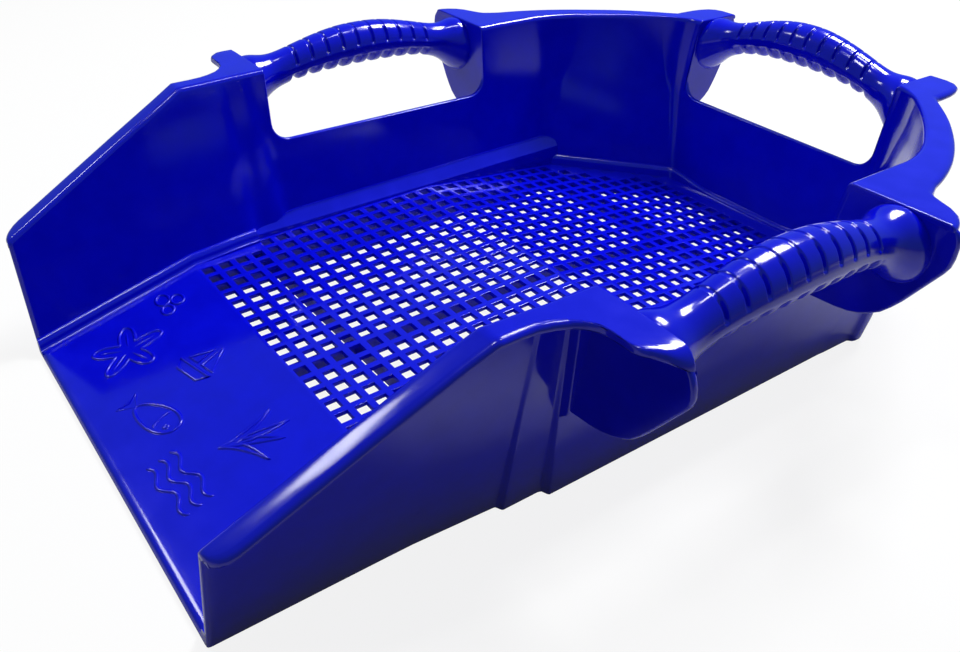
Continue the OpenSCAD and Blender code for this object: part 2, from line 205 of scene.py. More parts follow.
def ridge_mesh(lines, centre, turn, size):
    """Ridges along lines of a drawing, one unit wide, set on the ramp at centre, turned and sized."""
    points, faces = [], []
    c, s = math.cos(math.radians(turn)), math.sin(math.radians(turn))
    m = len(RIDGE_ARC)
    for line, closed in lines:
        flat = np.array(line, float) * size
        flat = flat @ np.array([[c, s], [-s, c]])
        n = len(flat)
        before = np.roll(flat, 1, 0) if closed else np.vstack([flat[:1], flat[:-1]])
        after = np.roll(flat, -1, 0) if closed else np.vstack([flat[1:], flat[-1:]])
        along = after - before
        along /= np.linalg.norm(along, axis=1)[:, None] + 1e-9
        side = np.column_stack([-along[:, 1], along[:, 0]])
        start = len(points)
        for i in range(n):
            taper = 1.0
            if not closed:
                taper = min(1.0, TAPER_FROM + (1 - TAPER_FROM) * min(i, n - 1 - i) / TAPER_POINTS)
            for a in RIDGE_ARC:
                across = RIDGE_HALF * taper * math.cos(a)
                up = RIDGE_ROUND * taper * math.sin(a) - RIDGE_SUNK
                x = centre[0] + flat[i, 0] + side[i, 0] * across
                run = centre[1] + flat[i, 1] + side[i, 1] * across
                y = run * math.cos(RAMP_SLOPE) - up * math.sin(RAMP_SLOPE)
                z = RAMP_LOW + run * math.sin(RAMP_SLOPE) + up * math.cos(RAMP_SLOPE)
                points.append((x, y, z))
        for i in range(n if closed else n - 1):
            here, there = start + i * m, start + (i + 1) % n * m
            faces += [(here + k, here + k + 1, there + k + 1, there + k) for k in range(m - 1)]
            faces.append((here + m - 1, here, there, there + m - 1))
        if not closed:
            faces += [tuple(range(start, start + m)), tuple(range(start + (n - 1) * m, start + n * m))]
    return points, faces


def curve(f, t0, t1, n):
    return [f(t0 + (t1 - t0) * i / (n - 1)) for i in range(n)]


def closed_curve(f, n):
    """A closed line of a drawing, from a function of the angle."""
    return curve(f, 0, TURN * (n - 1) / n, n), True


def polar(r, a):
    return (r * math.cos(a), r * math.sin(a))


def blade(bend, tall):
    """A blade of grass, up along one edge and down along the other."""
    def edge(t, side):
        return (bend * t * t + side * 0.055 * math.sin(math.pi * t), t * tall - 0.45)
    return curve(lambda t: edge(t, 1), 0, 1, 16) + curve(lambda t: edge(t, -1), 0.94, 0.06, 14)


starfish = [closed_curve(lambda a: polar(0.36 + 0.16 * math.cos(5 * a), a), 80)]
starfish += [([polar(r, TURN * k / 5) for r in (0.1, 0.2, 0.3, 0.4)], False) for k in range(5)]
fish = [closed_curve(lambda a: (0.42 * math.cos(a) - 0.05,
                                0.2 * math.sin(a) * (1 - 0.25 * math.cos(a))), 48),
        ([(0.37, 0.0), (0.58, 0.17), (0.53, 0.0), (0.58, -0.17), (0.37, 0.0)], False),
        (curve(lambda a: (-0.18 + 0.06 * math.cos(a), 0.2 * math.sin(a) * 0.8), -1.4, 1.4, 12), False),
        closed_curve(lambda a: (-0.31 + 0.025 * math.cos(a), 0.06 + 0.025 * math.sin(a)), 12)]
wave = [(curve(lambda t: (t - 0.5, 0.055 * math.sin(TURN * 2 * t) + 0.16 * k), 0, 1, 60), False)
        for k in (-1, 0, 1)]
boat = [([(-0.42, -0.16), (0.42, -0.16), (0.28, -0.34), (-0.28, -0.34)], True),
        ([(0.0, -0.1), (0.0, 0.45)], False),
        ([(0.06, -0.06), (0.36, -0.06), (0.06, 0.4)], True),
        ([(-0.06, -0.06), (-0.3, -0.06), (-0.06, 0.28)], True)]
seagrass = [(blade(bend, tall), True) for bend, tall in ((-0.42, 0.75), (-0.1, 1.0), (0.2, 0.9), (0.5, 0.65))]
PEBBLES = ((-0.24, -0.12, 0.22, 0.15), (0.2, -0.16, 0.18, 0.13), (0.0, 0.16, 0.2, 0.14))
pebbles = [closed_curve(lambda a: (cx + rx * math.cos(a), cy + ry * math.sin(a)), 32)
           for cx, cy, rx, ry in PEBBLES]
for motif, lines, centre, turn, size in (
        ("motif_starfish", starfish, (-66, 34), 20, 34), ("motif_boat", boat, (-30, 58), 12, 27),
        ("motif_fish", fish, (-14, 27), 200, 33), ("motif_seagrass", seagrass, (30, 54), -20, 30),
        ("motif_pebbles", pebbles, (-84, 64), 0, 22), ("motif_wave", wave, (30, 21), 8, 36)):
    motif_points, motif_faces = ridge_mesh(lines, centre, turn, size)
    make_piece(motif, motif_points, motif_faces, smooth_below=70)

# Sieve floor: two flat panels of square holes that meet at a low ridge. The front one rises and the rear
# one falls. They are moulded with the tray, so the bars have softened upper edges and the holes narrow
# slightly downward.
PITCH, HOLE, COLUMNS = 9.5, 6.0, 23
FRONT_ROWS, NARROW_ROWS, REAR_ROWS = 16, 4, 17
HOLE_SOFT, SOFT_DEEP, SOFT_MID, HOLE_DRAFT = 0.42, 0.45, 0.12, 0.2
FRONT_RISE, REAR_FALL = math.radians(2.0), math.radians(-5.2)
MESH_THICK, BAR_DEEP, MESH_Z = 3.0, 1.9, 22.0
BEND_Y = RAMP_END + FRONT_ROWS * PITCH * math.cos(FRONT_RISE)
BEND_Z = MESH_Z + FRONT_ROWS * PITCH * math.sin(FRONT_RISE)
LEDGE_X, PANEL_LAP, REAR_LAP = 109.5, 1.0, 3.0
STEP_Y, CORNER_Y, REAR_Y = 122.0, 332.0, 399.0
SIDE_HALF, SIDE_LEAN, REAR_LEAN = 111.0, 0.144, 0.12
REAR_BORDER, CORNER_BORDER, CORNER_SLOPE = 6.0, 10.0, 1.27
CORNER_HALF = SIDE_HALF + 3.0
TRIM_X, TRIM_Y, TRIM_WAY = SIDE_HALF + 3.6, CORNER_Y + 2.2, (67.0, 53.0)


def floor_z(y):
    """Top of the sieve floor."""
    if y < BEND_Y:
        return MESH_Z + (y - RAMP_END) * math.tan(FRONT_RISE) + MESH_THICK / 2
    return BEND_Z + (y - BEND_Y) * math.tan(REAR_FALL) + MESH_THICK / 2


def sieve_panel(start_y, start_z, tilt, rows, end_run, half_at, open_at):
    """A panel of square holes: half_at gives its half width along the run, open_at which holes exist."""
    points, faces, index = [], [], {}

    def vert(x, run, z):
        key = (round(x, 3), round(run, 3), round(z, 3))
        if key not in index:
            index[key] = len(points)
            points.append((x, start_y + run * math.cos(tilt) - z * math.sin(tilt),
                           start_z + run * math.sin(tilt) + z * math.cos(tilt)))
        return index[key]

    top = MESH_THICK / 2
    low = top - BAR_DEEP
    hole_levels = ((HOLE / 2 + HOLE_SOFT, top), (HOLE / 2 + SOFT_MID, top - SOFT_MID),
                   (HOLE / 2, top - SOFT_DEEP), (HOLE / 2 - HOLE_DRAFT, low))
    edges = [(i - COLUMNS / 2) * PITCH for i in range(COLUMNS + 1)]
    runs = [j * PITCH for j in range(rows + 1)]
    if end_run > runs[-1] + 0.01:
        runs.append(end_run)
    for j in range(len(runs) - 1):
        r0, r1 = runs[j], runs[j + 1]
        for i in range(COLUMNS):
            x0, x1 = edges[i], edges[i + 1]
            cell = ((x0, r0), (x1, r0), (x1, r1), (x0, r1))
            if j < rows and open_at(i, j):
                cx, cr = (x0 + x1) / 2, (r0 + r1) / 2
                corners = [(-1, -1), (1, -1), (1, 1), (-1, 1)]
                outer_top = [vert(x, r, top) for x, r in cell]
                outer_low = [vert(x, r, low) for x, r in cell]
                levels = [[vert(cx + sx * h, cr + sr * h, z) for sx, sr in corners] for h, z in hole_levels]
                loops = [outer_top] + levels + [outer_low]
                for a, b in zip(loops, loops[1:]):
                    faces += [(a[k], a[(k + 1) % 4], b[(k + 1) % 4], b[k]) for k in range(4)]
            else:
                faces.append([vert(x, r, top) for x, r in cell])
                faces.append([vert(x, r, low) for x, r in cell[::-1]])
        for side in (-1, 1):
            inner = side * edges[-1]
            a, b = side * half_at(r0), side * half_at(r1)
            faces.append([vert(inner, r0, top), vert(a, r0, top), vert(b, r1, top), vert(inner, r1, top)])
            faces.append([vert(inner, r1, low), vert(b, r1, low), vert(a, r0, low), vert(inner, r0, low)])
            faces.append([vert(a, r0, top), vert(a, r0, low), vert(b, r1, low), vert(b, r1, top)])
    for r in (runs[0], runs[-1]):
        xs = [-half_at(r)] + edges + [half_at(r)]
        for p, q in zip(xs, xs[1:]):
            faces.append([vert(p, r, top), vert(q, r, top), vert(q, r, low), vert(p, r, low)])
    return points, faces


def front_half_at(run):
    y = RAMP_END + run
    return (front_x(y, MESH_Z) if y < STEP_Y - 1 else LEDGE_X) + PANEL_LAP


front_points, front_faces = sieve_panel(
    RAMP_END, MESH_Z, FRONT_RISE, FRONT_ROWS, FRONT_ROWS * PITCH, front_half_at,
    lambda i, j: 0 < i < COLUMNS - 1 or j >= NARROW_ROWS)
make_piece("sieve_front_grid", front_points, front_faces, ["sieve_front"], smooth_below=30)


def rear_open(i, j):
    """Whether a hole lies inside the plain border along the rear wall and the corner walls."""
    x = abs((i + 0.5 - COLUMNS / 2) * PITCH) + HOLE / 2
    y = BEND_Y + (j + 1) * PITCH
    return y < REAR_Y - REAR_BORDER and y < CORNER_Y - CORNER_BORDER + (CORNER_HALF - x) * CORNER_SLOPE


REAR_RUN = (REAR_Y + REAR_LAP - BEND_Y) / math.cos(REAR_FALL)
rear_points, rear_faces = sieve_panel(
    BEND_Y, BEND_Z, REAR_FALL, REAR_ROWS, REAR_RUN, lambda run: LEDGE_X + PANEL_LAP, rear_open)
sieve_rear = make_piece("sieve_rear_grid", rear_points, rear_faces, ["sieve_rear"], smooth_below=30)
# The rear panel's two corners are cut off inside the corner walls
trimmed = bmesh.new()
trimmed.from_mesh(sieve_rear.data)
for hand in (1, -1):
    cut = bmesh.ops.bisect_plane(
        trimmed, geom=trimmed.verts[:] + trimmed.edges[:] + trimmed.faces[:], dist=SLIVER_M,
        plane_co=Vector((hand * TRIM_X / 1000, TRIM_Y / 1000 + LIP_Y, 0)),
        plane_no=Vector((hand * TRIM_WAY[0], TRIM_WAY[1], 0)).normalized(), clear_outer=True)
    cut_edges = [e for e in cut["geom_cut"] if isinstance(e, bmesh.types.BMEdge)]
    bmesh.ops.holes_fill(trimmed, edges=cut_edges, sides=0)
trimmed.to_mesh(sieve_rear.data)
trimmed.free()

# Ribs under the floor: upright stiffening ribs below the sieve panels, one along the middle and two across.
# They are moulded with the floor and show only through the holes, so the solids stay and take the plastic.
for rib in ("front_cross_rib", "rear_cross_rib", "centre_rib_front", "centre_rib_middle",
            "centre_rib_rear", "centre_rib_end"):
    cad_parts[rib].data.materials.clear()
    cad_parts[rib].data.materials.append(moulded_polypropylene)

# Tray shell: the walls all round and the turned-out rim at their top, moulded in one run: the front walls
# under the rising rim, two small steps outward, the side walls, the corner walls and the rear wall. Three
# hand windows are left open in it, and the rim widens into tabs at their ends.
RIM_Z, RIM_FRONT_Z, KNEE_Y = 112.0, 57.5, 95.0
RIM_WIDE, RIM_THICK, RIM_CROWN, RIM_END_ROUND = 11.7, 3.1, 0.1, 8.5
RIM_ROLL, ROLL_SHARE, FULL_RIM, ROOT_ROUND = 2.4, 0.42, 9.0, 2.2
FLAT_SHARES = (0.2, 0.4, 0.6, 0.8, 0.91, 0.96, 1.0)
WINDOW_Y0, WINDOW_Y1, SIDE_SILL = 142.5, 284.5, 73.5
REAR_HALF_WINDOW, REAR_SILL, WINDOW_ROUND = 68.0, 66.0, 10.0
MID_HALF, MID_LEAN, STEP_WIDE, SOFT_STEP = 107.2, 0.174, 2.2, 12.0
FIRST_STEP_Y, FIRST_SLANT = 123.5, 0.045
SECOND_STEP_Y, SECOND_SLANT = 145.0, 0.13
FOLD_FOOT, FOLD_TOP, FOLD_DRIFT = 6.0, 56.0, 0.054
BACK_X, BACK_RUN, BACK_FOOT_X = 58.0, 0.24, 44.0
BACK_ROUND, BACK_SILL_ROUND, BACK_TOP_ROUND = 6.0, 3.2, 19.0
CURVED_SHARE, CURVED_FROM_Z, SIDE_PULL, BACK_PULL = 0.75, 55.0, 38.0, 10.0


def side_x(z):
    return SIDE_HALF + SIDE_LEAN * z


def rear_y(z):
    return REAR_Y + REAR_LEAN * z


def soft_step(t):
    t = min(max(t, 0.0), 1.0)
    return t * t * (3 - 2 * t)


def rim_z(y):
    return RIM_FRONT_Z + (RIM_Z - RIM_FRONT_Z) * min(y / KNEE_Y, 1.0)


def long_wall_x(y, z, wide=SOFT_STEP):
    """Inner face of the front and side walls, with the two slanting steps between them."""
    first = soft_step((y - FIRST_STEP_Y + FIRST_SLANT * z) / wide + 0.5)
    second = soft_step((y - SECOND_STEP_Y + SECOND_SLANT * z) / wide + 0.5)
    x = front_x(y, z)
    x += (max(MID_HALF + MID_LEAN * z, x) - x) * first
    return x + (max(side_x(z), x) - x) * second


def wall_plan(kind, a, z):
    """Inner face of the wall at height z as (x, y), and the outward direction in plan."""
    if kind == "long":
        top, sill, foot = a
        y = foot + (sill - foot) * z / SIDE_SILL
        if z > SIDE_SILL:
            y = sill + (top - sill) * (z - SIDE_SILL) / (RIM_Z - SIDE_SILL)
        return np.array([long_wall_x(y, z), y]), np.array([1.0, 0.0])
    if kind == "rear":
        top, foot = a
        x = top if z > REAR_SILL else foot + (top - foot) * z / REAR_SILL
        return np.array([x, rear_y(z)]), np.array([0.0, 1.0])
    fold = np.array([side_x(z), CORNER_Y + FOLD_DRIFT * z])
    back = np.array([BACK_X + BACK_RUN * z, rear_y(z)])
    c = (back - fold) / np.linalg.norm(back - fold)
    turn = math.acos(c[1])
    fold_round = FOLD_FOOT + (FOLD_TOP - FOLD_FOOT) * (max(z, 0.0) / RIM_Z) ** 1.5
    reach = fold_round * math.tan(turn / 2)
    back_round = BACK_ROUND + BACK_SILL_ROUND * min(z / REAR_SILL, 1)
    back_round += BACK_TOP_ROUND * max(z - REAR_SILL, 0) / (RIM_Z - REAR_SILL)
    back_reach = back_round * math.tan(math.acos(-c[0]) / 2)
    if kind == "tab":
        end = back[0] - back_reach
        stop = REAR_HALF_WINDOW
        if z <= REAR_SILL:
            stop = BACK_FOOT_X + (REAR_HALF_WINDOW - BACK_FOOT_X) * z / REAR_SILL
        return np.array([end + (stop - end) * a, rear_y(z)]), np.array([0.0, 1.0])
    out = np.array([c[1], -c[0]])
    if kind == "fold":
        along = 0.3 * a
        out = np.array([math.cos(turn * a), math.sin(turn * a)])
        p = fold - np.array([fold_round, reach]) + fold_round * out
    elif kind == "corner":
        along = 0.3 + 0.4 * a
        p = fold + c * reach + (back - c * back_reach - fold - c * reach) * a
    else:
        along = 0.7 + 0.3 * a
        centre = back - c * back_reach - back_round * out
        start = math.atan2(out[1], out[0])
        angle = start + (math.pi / 2 - start) * a
        out = np.array([math.cos(angle), math.sin(angle)])
        p = centre + back_round * out
    # Toward the rim the two folds and the flat between them melt into one curve
    first, last = fold - np.array([0, reach]), back - np.array([back_reach, 0])
    pulls = [first, first + np.array([0, SIDE_PULL]), last + np.array([BACK_PULL, 0]), last]
    left = 1 - along
    weights = (left ** 3, 3 * along * left ** 2, 3 * along ** 2 * left, along ** 3)
    curved = sum(w * q for w, q in zip(weights, pulls))
    return p + (curved - p) * CURVED_SHARE * soft_step((z - CURVED_FROM_Z) / (RIM_Z - CURVED_FROM_Z)), out


def outer_plan(kind, a, z):
    """Outer face of the wall at height z: the steps are crisp outside and soft inside."""
    p, out = wall_plan(kind, a, z)
    if kind == "long":
        p = np.array([long_wall_x(p[1], z, STEP_WIDE), p[1]])
    return p + out * WALL


def front_edge(y):
    """The rim's outer edge beside the front walls, rounded off at its front end."""
    wide = RIM_WIDE
    if y <= RIM_END_ROUND:
        wide += math.sqrt(RIM_END_ROUND ** 2 - (RIM_END_ROUND - y) ** 2) - RIM_END_ROUND
    return (front_x(y, rim_z(y)) + wide, y)


# Stations along the right half of the wall: where on the wall, the rim's outer edge, in a window or not
stations = [(("long", (y, y, y)), front_edge(y), False)
            for y in (0, 0.12, 0.45, 1, 1.8, 3, 5.5, 8.5, 14, 24, 36, 48, 60, 72, 84, 93, 95, 97)]
# Past the two steps: the wall's Y at the rim, the sill and the foot, and then the rim's outer edge
FIRST_STEP_RUN, SECOND_STEP_RUN = (118.46, 120.19, 123.5), (130.44, 135.45, 145)
STEP_SHIFTS = (-1.1, -0.66, -0.22, 0.22, 0.66, 1.1)
first_edge = ((141, 120.5), (141.6, 121.3), (142.3, 122.1), (143, 122.9), (143.7, 123.7), (144.5, 124.4))
second_edge = ((160.5, 127.5), (162.2, 127.7), (163.6, 128.1), (164.8, 128.7), (165.9, 129.5), (166.8, 130.4))
mid_run = [(104, 104.4, 105, 136.8, 104), (110, 111, 113, 137.3, 110.5), (114.6, 116.2, 119.5, 138.8, 115.8)]
mid_run += [(*(y + shift for y in FIRST_STEP_RUN), *edge) for shift, edge in zip(STEP_SHIFTS, first_edge)]
mid_run += [(121.5, 123.6, 127.5, 147.5, 126.4), (124, 126.6, 132.5, 150.6, 127.1),
            (127, 130.8, 139, 155.5, 127.3)]
mid_run += [(*(y + shift for y in SECOND_STEP_RUN), *edge) for shift, edge in zip(STEP_SHIFTS, second_edge)]
mid_run += [(133.2, 138.2, 148, 170.2, 133.4), (136.5, 140.3, 150.5, 173.0, 137),
            (139.5, 141.6, 152.5, 174.3, 140), (WINDOW_Y0, WINDOW_Y0, 154, 174.8, WINDOW_Y0)]
stations += [(("long", (t, s, f)), (ex, ey), False) for t, s, f, ex, ey in mid_run]
stations += [(("long", (y, y, f)), None, True) for y, f in (
    (WINDOW_Y0 + WINDOW_ROUND, 160), (165, 169), (180, 182), (200, 200), (220, 220), (240, 240), (258, 258),
    (WINDOW_Y1 - WINDOW_ROUND, WINDOW_Y1 - WINDOW_ROUND))]
stations += [(("long", (y, y, y)), out, False) for y, out in (
    (WINDOW_Y1, (174.8, WINDOW_Y1)), (287, (174.4, 287.4)), (289.5, (173.0, 291)), (292, (170.2, 295.2)),
    (294.5, (166, 298.4)), (297, (160.8, 300.6)), (299.5, (156.8, 302.4)), (302, (153.8, 304.6)),
    (306, (151.6, 308.6)), (311, (149.4, 313.5)))]
ARC_FROM, ARC_MID, ARC_TO = np.array([148.4, 316.6]), np.array([128.2, 365.0]), np.array([90.3, 412.6])


def crescent_edge(t):
    """The rim's outer arc round a corner, through three points."""
    return tuple(ARC_FROM + (ARC_TO - ARC_FROM) * t + 2 * (2 * ARC_MID - ARC_FROM - ARC_TO) * t * (1 - t))


corner_run = [("fold", a) for a in np.linspace(0, 1, 11)]
corner_run += [("corner", a) for a in (0.2, 0.4, 0.6, 0.8, 1.0)]
corner_run += [("back_fold", a) for a in (0.15, 0.3, 0.45, 0.6)]
stations += [(s, crescent_edge(k / len(corner_run)), False) for k, s in enumerate(corner_run)]
stations += [(("back_fold", a), out, False) for a, out in (
    (0.7, (90.3, 413.5)), (0.8, (90.4, 417)), (0.9, (90.2, 422)), (1.0, (89.8, 428)))]
stations += [(("tab", t), out, False) for t, out in (
    (0.2, (88.6, 434.5)), (0.4, (86.6, 440)), (0.6, (83.2, 443.6)), (0.8, (78.4, 445.3)), (1.0, (68, 445.6)))]
stations += [(("rear", (x, f)), None, True) for x, f in (
    (REAR_HALF_WINDOW - WINDOW_ROUND, 37), (44, 30), (30, 21), (15, 11), (0, 0))]
# How far both faces of the wall draw in at its front end, by distance from the end
FRONT_NOSE = {0: 0.95, 0.12: 0.62, 0.45: 0.3, 1: 0.1}
FOOT_EDGE, FOOT_NOSE = 0.5, 0.6
SIDE_LEVELS = np.array([0.7, 24, 48, SIDE_SILL, SIDE_SILL + WINDOW_ROUND, 97])
REAR_LEVELS = np.array([0.7, 22, 44, REAR_SILL, REAR_SILL + WINDOW_ROUND, 96])
LOW_RIM_SHARE = 0.99


def station_levels(k):
    """Heights of the wall's rows at a station, and the round at the rim's inner edge. Row 3 is the sill."""
    (kind, a), edge, _ = stations[k]
    if kind == "long":
        y = a[0]
        roll = RIM_ROLL
        if edge is not None:
            roll = min(RIM_ROLL, ROLL_SHARE * (edge[0] - long_wall_x(y, rim_z(y))))
        rows = SIDE_LEVELS if y > KNEE_Y else SIDE_LEVELS * (rim_z(y) / RIM_Z) * LOW_RIM_SHARE
        return np.append(rows, rim_z(y) - roll), roll
    rear_share = 1.0
    if kind == "fold":
        rear_share = 0.4 * a
    elif kind == "corner":
        rear_share = 0.4 + 0.6 * a
    return np.append(SIDE_LEVELS + (REAR_LEVELS - SIDE_LEVELS) * rear_share, RIM_Z - RIM_ROLL), RIM_ROLL


def shell_profile(k):
    """Cross section of wall and rim at a station, from the inner foot over the rim to the outer foot."""
    (kind, a), edge, _ = stations[k]
    levels, roll = station_levels(k)
    thin = FRONT_NOSE.get(a[0], 0.0) if kind == "long" else 0.0
    inner, outer = [], []
    for z in levels:
        p, out = wall_plan(kind, a, z)
        inner.append((*(p + out * thin), z))
        outer.append((*(outer_plan(kind, a, z) - out * thin), z))
    foot, out = wall_plan(kind, a, 0.0)
    inner.insert(0, (*(foot + out * (FOOT_EDGE + thin * FOOT_NOSE)), 0.0))
    outer.insert(0, (*(outer_plan(kind, a, 0.0) - out * (FOOT_EDGE + thin * FOOT_NOSE)), 0.0))
    if edge is None:
        return inner, [], outer
    top = levels[-1] + roll
    root, lip_at, edge = np.array(inner[-1][:2]), wall_plan(kind, a, top)[0], np.array(edge)
    reach = np.linalg.norm(edge - lip_at)
    way = (edge - lip_at) / reach
    rim = []
    for deg in (15, 30, 45, 60, 75, 90):
        s, c = math.sin(math.radians(deg)), math.cos(math.radians(deg))
        rim.append((*(root + (lip_at - root) * s + way * roll * (1 - c)), top - roll + roll * s - thin * s))
    small = min(1.0, reach / FULL_RIM)
    flat = reach - 3 * small - roll
    crown = RIM_CROWN * small if kind == "long" and a[0] < KNEE_Y else 0.0
    run = [(roll + flat * f, 4 * crown * f * (1 - f)) for f in FLAT_SHARES]
    run += [(reach - 1.7 * small, -0.2), (reach - 0.75 * small, -0.65), (reach - 0.18 * small, -1.35),
            (reach, -2.1), (reach - 0.15, -2.7), (reach - 0.6 * small, -RIM_THICK)]
    for o, z in run:
        rim.append((*(lip_at + way * o), top + z - (thin if z > -RIM_THICK / 2 else -thin)))
    under = top - RIM_THICK - ROOT_ROUND
    base = outer_plan(kind, a, under) - out * thin
    for deg in (0, 30, 60):
        s, c = math.sin(math.radians(deg)), math.cos(math.radians(deg))
        rim.append((*(base + out * ROOT_ROUND * small * (1 - s)), under + ROOT_ROUND * c))
    outer[-1] = (*base, under)
    return inner, rim, outer


TAB_CURL, TAB_CURL_X = 9.0, 166.0


def turned_down(x, y, z):
    """The front tabs curl down at their outer end, over the ear's round corner."""
    past = min(max(x - TAB_CURL_X, 0.0), TAB_CURL - 0.1) if y < WINDOW_Y0 + 1 else 0.0
    return x, y, z - TAB_CURL + math.sqrt(TAB_CURL ** 2 - past ** 2)


shell_points, shell_faces, profiles = [], [], []
for k in range(len(stations)):
    rows = []
    for part in shell_profile(k):
        rows.append(list(range(len(shell_points), len(shell_points) + len(part))))
        shell_points += [turned_down(*spot) for spot in part]
    profiles.append(rows)
SILL_ROW = 4
for k in range(len(stations) - 1):
    a, b = profiles[k], profiles[k + 1]
    open_a, open_b = stations[k][2], stations[k + 1][2]
    last = SILL_ROW if open_a or open_b else len(a[0]) - 1
    for skin in (0, 2):
        shell_faces += [(a[skin][r], b[skin][r], b[skin][r + 1], a[skin][r + 1]) for r in range(last)]
    shell_faces.append((a[0][0], a[2][0], b[2][0], b[0][0]))
    if not (open_a or open_b):
        run_a, run_b = [a[0][-1]] + a[1] + [a[2][-1]], [b[0][-1]] + b[1] + [b[2][-1]]
        shell_faces += [(run_a[r], run_b[r], run_b[r + 1], run_a[r + 1]) for r in range(len(run_a) - 1)]
        continue
    if open_a and open_b:
        shell_faces.append((a[0][SILL_ROW], b[0][SILL_ROW], b[2][SILL_ROW], a[2][SILL_ROW]))
        continue
    # A window's lower corner: the wall fills the square cell outside a quarter circle
    shut, free = (b, a) if open_a else (a, b)
    kind, here = stations[k][0] if open_a else stations[k + 1][0]
    sill = SIDE_SILL if kind == "long" else REAR_SILL
    v1 = here[0]
    v0 = REAR_HALF_WINDOW if kind == "rear" else (WINDOW_Y1 if open_a else WINDOW_Y0)
    arcs = []
    for skin in (0, 2):
        arc = [free[skin][SILL_ROW]]
        for deg in (15, 30, 45, 60, 75):
            v = v1 + (v0 - v1) * math.sin(math.radians(deg))
            z = sill + WINDOW_ROUND * (1 - math.cos(math.radians(deg)))
            spot = (v, v, v) if kind == "long" else (v, v)
            arc.append(len(shell_points))
            shell_points.append((*(outer_plan(kind, spot, z) if skin else wall_plan(kind, spot, z)[0]), z))
        arc.append(shut[skin][SILL_ROW + 1])
        shell_faces.append([shut[skin][SILL_ROW]] + arc)
        arcs.append(arc)
    near, far = arcs
    shell_faces += [(near[i], near[i + 1], far[i + 1], far[i]) for i in range(len(near) - 1)]
    shell_faces.append(shut[0][SILL_ROW + 1:] + shut[1] + shut[2][:SILL_ROW:-1])
shell_faces.append(profiles[0][0] + profiles[0][1] + profiles[0][2][::-1])
half = len(shell_points)
shell_points += [(-x, y, z) for x, y, z in shell_points]
shell_faces += [[v + half for v in face][::-1] for face in shell_faces]
make_piece("tray_shell", shell_points, shell_faces, [
    "left_front_wall", "right_front_wall", "left_step_wall", "right_step_wall", "left_side_wall",
    "right_side_wall", "left_corner_wall", "right_corner_wall", "rear_wall", "left_front_rim",
    "right_front_rim", "left_corner_rim", "right_corner_rim"], edge_mm=0.7)

# Ledges and skirtings: inside the side walls a narrow sloping ledge stands over the sieve floor, and a
# short skirting leads to it from the ramp. Both are moulded with the walls.
LEDGE_RISE, LEDGE_OVER = math.tan(math.radians(1.2)), 3.0
LEDGE_DROP, LEDGE_WIDE, LEDGE_SOFT = 5.2, 6.2, 5.0
INTO_WALL, BELOW_FLOOR = 0.9, 1.0
SKIRT_SLIM, SKIRT_LIFT, SKIRT_RUN = 0.92, 1.2, 30.0
LEDGE_STATIONS = (STEP_Y - 0.5, 123, 124, 125, 130, 136, 139, 140, 141, 142, 143, 150, 180, 230, 280,
                  305, 312, 318, 324, 329, 333, 336, 339)


def inner_x(y, z):
    """Inner face of a side wall or, further back, of the corner wall."""
    if y < CORNER_Y - 24:
        return long_wall_x(y, z)
    path = [wall_plan("fold", a, z)[0] for a in np.linspace(0, 1, 9)]
    path += [wall_plan("corner", a, z)[0] for a in (0.1, 0.3, 0.6, 1.0)]
    return float(np.interp(y, [p[1] for p in path], [p[0] for p in path]))


def ledge_ring(y):
    edge = floor_z(STEP_Y) + LEDGE_OVER + (y - STEP_Y) * LEDGE_RISE
    low = floor_z(y) - BELOW_FLOOR
    w = max(inner_x(y, edge + LEDGE_DROP * 0.8) - LEDGE_X, 0.5)
    s = min(1.0, w / LEDGE_SOFT)
    root, x = edge + LEDGE_DROP * w / LEDGE_WIDE, LEDGE_X
    profile = [(x - 0.05, low), (x - 0.05, edge - 1.0), (x + 0.12 * s, edge - 0.4), (x + 0.5 * s, edge),
               (x + 1.2 * s, edge + 0.5 * s), (x + w - 1.1 * s, root - 1.0 * s),
               (x + w - 0.4 * s, root - 0.25 * s), (x + w - 0.1 * s, root + 0.7 * s),
               (x + w + INTO_WALL, root + 0.9 * s), (max(inner_x(y, low) + INTO_WALL, x + 0.5), low)]
    return [(across, y, z) for across, z in profile]


ledge_points, ledge_faces = loft([ledge_ring(y) for y in LEDGE_STATIONS])
skirt_rings = []
for y in (RAMP_END - 0.6, 95, 105, 113, STEP_Y - 0.4):
    foot = floor_z(y) + SKIRT_LIFT * soft_step((y - RAMP_END) / SKIRT_RUN)
    low = floor_z(y) - BELOW_FLOOR
    wall_x = front_x(y, foot)
    ring = [(front_x(y, foot + up) - inward * SKIRT_SLIM, y, foot + up) for inward, up in SKIRTING[1:]]
    ring += [(wall_x + INTO_WALL, y, low), (wall_x - SKIRTING[1][0] * SKIRT_SLIM, y, low)]
    skirt_rings.append(ring)
skirt_points, skirt_faces = loft(skirt_rings)
for hand in ("right", "left"):
    make_piece(hand + "_ledge_strip", ledge_points, ledge_faces, [hand + "_ledge"], smooth_below=50,
               mirror=hand == "left")
    make_piece(hand + "_skirting", skirt_points, skirt_faces, smooth_below=50, mirror=hand == "left")

# Foot strip: a low strip in the angle between the floor and the corner and rear walls, moulded with them.
# It is lowest in the middle of the rear wall.
STRIP_HIGH, STRIP_LOW, STRIP_FALL, STRIP_AT_Z = 6.3, 2.2, 0.3, 14.0


def strip_high(x):
    """Height of the strip along the rear wall."""
    return STRIP_LOW + (STRIP_HIGH - STRIP_FALL - STRIP_LOW) * soft_step((x - 22) / 40) ** 1.3


